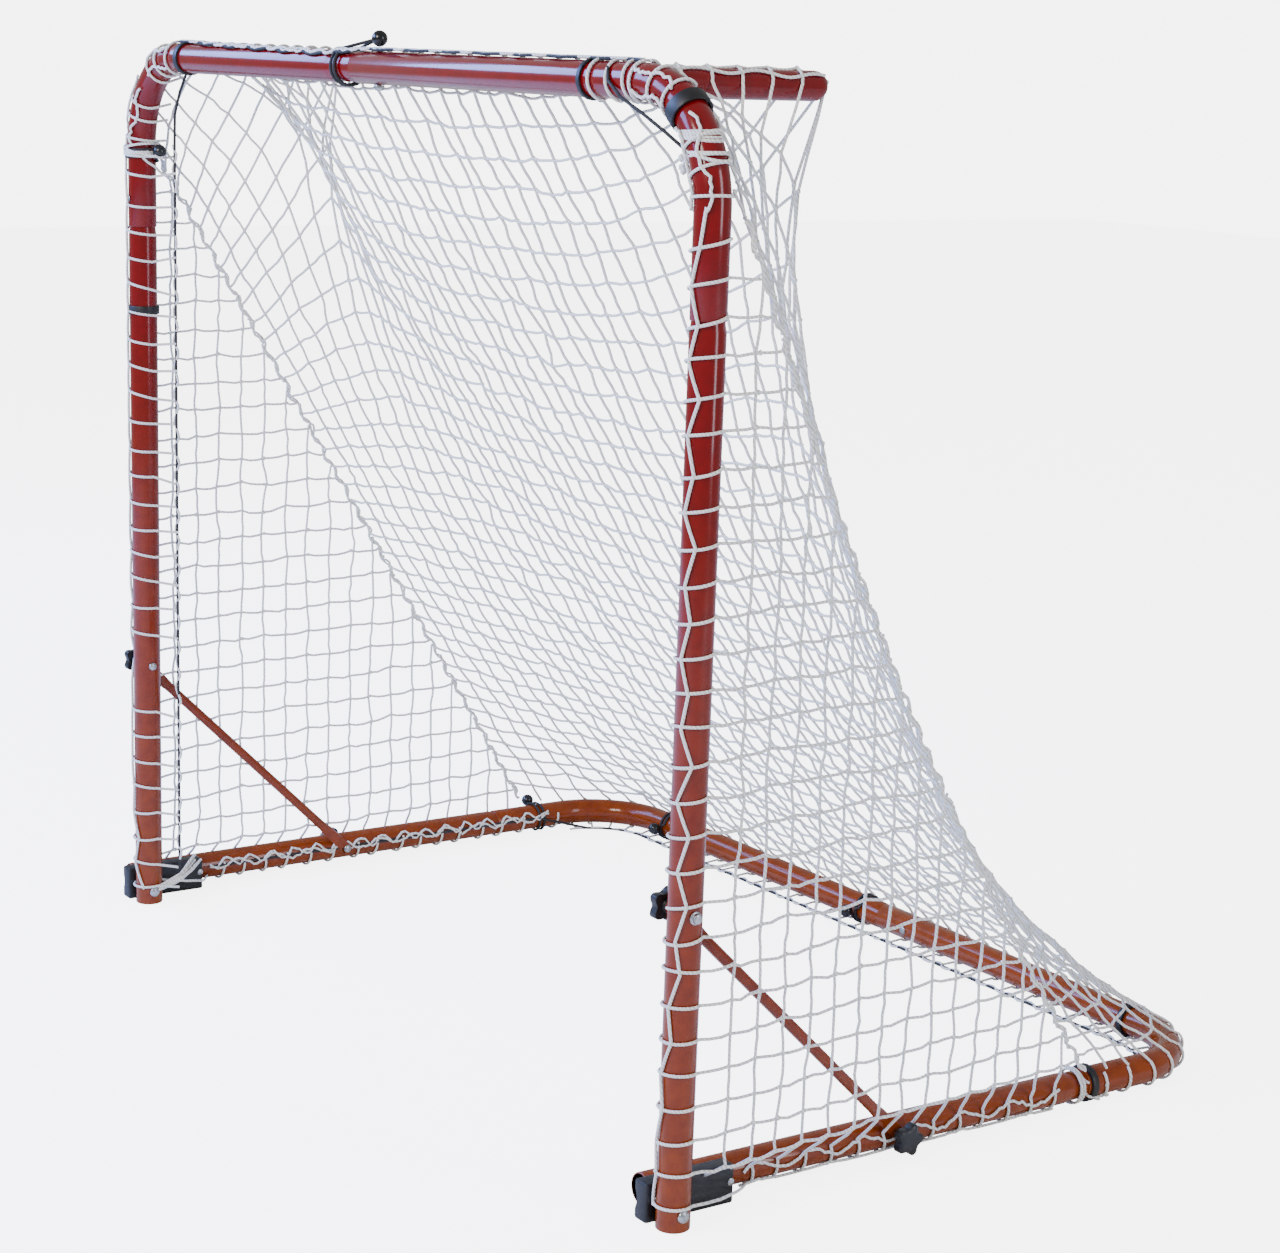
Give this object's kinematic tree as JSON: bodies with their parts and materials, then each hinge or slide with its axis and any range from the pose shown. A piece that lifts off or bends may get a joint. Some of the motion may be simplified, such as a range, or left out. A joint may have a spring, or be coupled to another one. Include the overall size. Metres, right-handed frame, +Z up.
{
  "type": "folding goal",
  "caption": "Folding steel-tube goal with a laced net, hinged at the feet of its posts and held upright by two braces with star knobs.",
  "frame": {"origin": "middle of the goal's box, on the floor", "axes": "+Z up, -Y out of the goal's mouth, +Y towards the back of the net, +X to the right of someone who looks into the mouth"},
  "size_m": [1.4534, 0.9172, 1.2432],
  "materials": {
    "red_steel": "gloss powder coat",
    "zinc_steel": "bright zinc",
    "block": "moulded, satin",
    "knob": "moulded, satin",
    "plug": "moulded, matte",
    "clip": "flexible band, satin",
    "ball": "gloss",
    "elastic_cord": "braided elastic",
    "net": "twisted twine"
  },
  "bodies": {
    "base": {"back_bar_bolt": "zinc_steel", "back_bar_nut": "zinc_steel", "back_bar_tie_ball": "ball", "back_bar_tie_cord": "elastic_cord", "base_lacing_cord": "elastic_cord", "left_base_bolt": "zinc_steel", "left_base_plug": "plug", "left_base_rivet": "zinc_steel", "left_base_tube": "red_steel", "left_block_rivet": "zinc_steel", "left_hinge_bolt": "zinc_steel", "left_hinge_nut": "zinc_steel", "left_pivot_block": "block", "left_rear_tie_ball": "ball", "left_rear_tie_cord": "elastic_cord", "left_rear_tube": "red_steel", "left_side_tie_ball": "ball", "left_side_tie_cord": "elastic_cord", "net_back": "net", "net_left": "net", "net_right": "net", "right_base_bolt": "zinc_steel", "right_base_plug": "plug", "right_base_rivet": "zinc_steel", "right_base_tube": "red_steel", "right_block_rivet": "zinc_steel", "right_hinge_bolt": "zinc_steel", "right_hinge_nut": "zinc_steel", "right_pivot_block": "block", "right_rear_clip": "clip", "right_rear_tube": "red_steel", "right_side_clip": "clip"},
    "front_frame": {"crossbar_bolt": "zinc_steel", "crossbar_nut": "zinc_steel", "crossbar_tie_ball": "ball", "crossbar_tie_cord": "elastic_cord", "front_lacing_cord": "elastic_cord", "left_corner_tie_ball": "ball", "left_corner_tie_cord": "elastic_cord", "left_corner_tube": "red_steel", "left_crossbar_clip": "clip", "left_foot_plug": "plug", "left_post": "red_steel", "left_post_bolt": "zinc_steel", "left_post_clip": "clip", "left_post_rivet": "zinc_steel", "left_shelf_arm": "red_steel", "right_corner_clip": "clip", "right_corner_tube": "red_steel", "right_crossbar_clip": "clip", "right_foot_plug": "plug", "right_post": "red_steel", "right_post_bolt": "zinc_steel", "right_shelf_arm": "red_steel"},
    "left_brace": {"left_brace": "red_steel"},
    "right_brace": {"right_brace": "red_steel"},
    "left_post_knob": {"left_post_knob": "knob"},
    "right_post_knob": {"right_post_knob": "knob"},
    "left_base_knob": {"left_base_knob": "knob"},
    "right_base_knob": {"right_base_knob": "knob"}
  },
  "joints": [
    {"name": "front_fold", "type": "hinge", "parent": "base", "child": "front_frame", "pos_m": [0.0344, -0.4336, 0.01905], "axis": [-1, 0, 0], "range_deg": [0, 79], "deforming": ["net_back", "net_left", "net_right", "front_lacing_cord"]},
    {"name": "left_brace_swing", "type": "hinge", "parent": "front_frame", "child": "left_brace", "pos_m": [-0.63235, -0.4336, 0.355], "axis": [1, 0, 0], "range_deg": [0, 122.5]},
    {"name": "left_post_knob_turn", "type": "hinge", "parent": "front_frame", "child": "left_post_knob", "pos_m": [-0.63235, -0.4336, 0.355], "axis": [1, 0, 0], "continuous": true},
    {"name": "left_base_knob_turn", "type": "hinge", "parent": "base", "child": "left_base_knob", "pos_m": [-0.68865, -0.0876, 0.0237], "axis": [1, 0, 0], "continuous": true},
    {"name": "right_brace_swing", "type": "hinge", "parent": "front_frame", "child": "right_brace", "pos_m": [0.70115, -0.4336, 0.355], "axis": [1, 0, 0], "range_deg": [0, 122.5]},
    {"name": "right_post_knob_turn", "type": "hinge", "parent": "front_frame", "child": "right_post_knob", "pos_m": [0.70115, -0.4336, 0.355], "axis": [1, 0, 0], "continuous": true},
    {"name": "right_base_knob_turn", "type": "hinge", "parent": "base", "child": "right_base_knob", "pos_m": [0.64485, -0.0876, 0.0237], "axis": [1, 0, 0], "continuous": true}
  ],
  "couplings": [
    {"joint": "left_brace_swing", "follows": "front_fold", "ratio": 1.544},
    {"joint": "right_brace_swing", "follows": "front_fold", "ratio": 1.544}
  ]
}
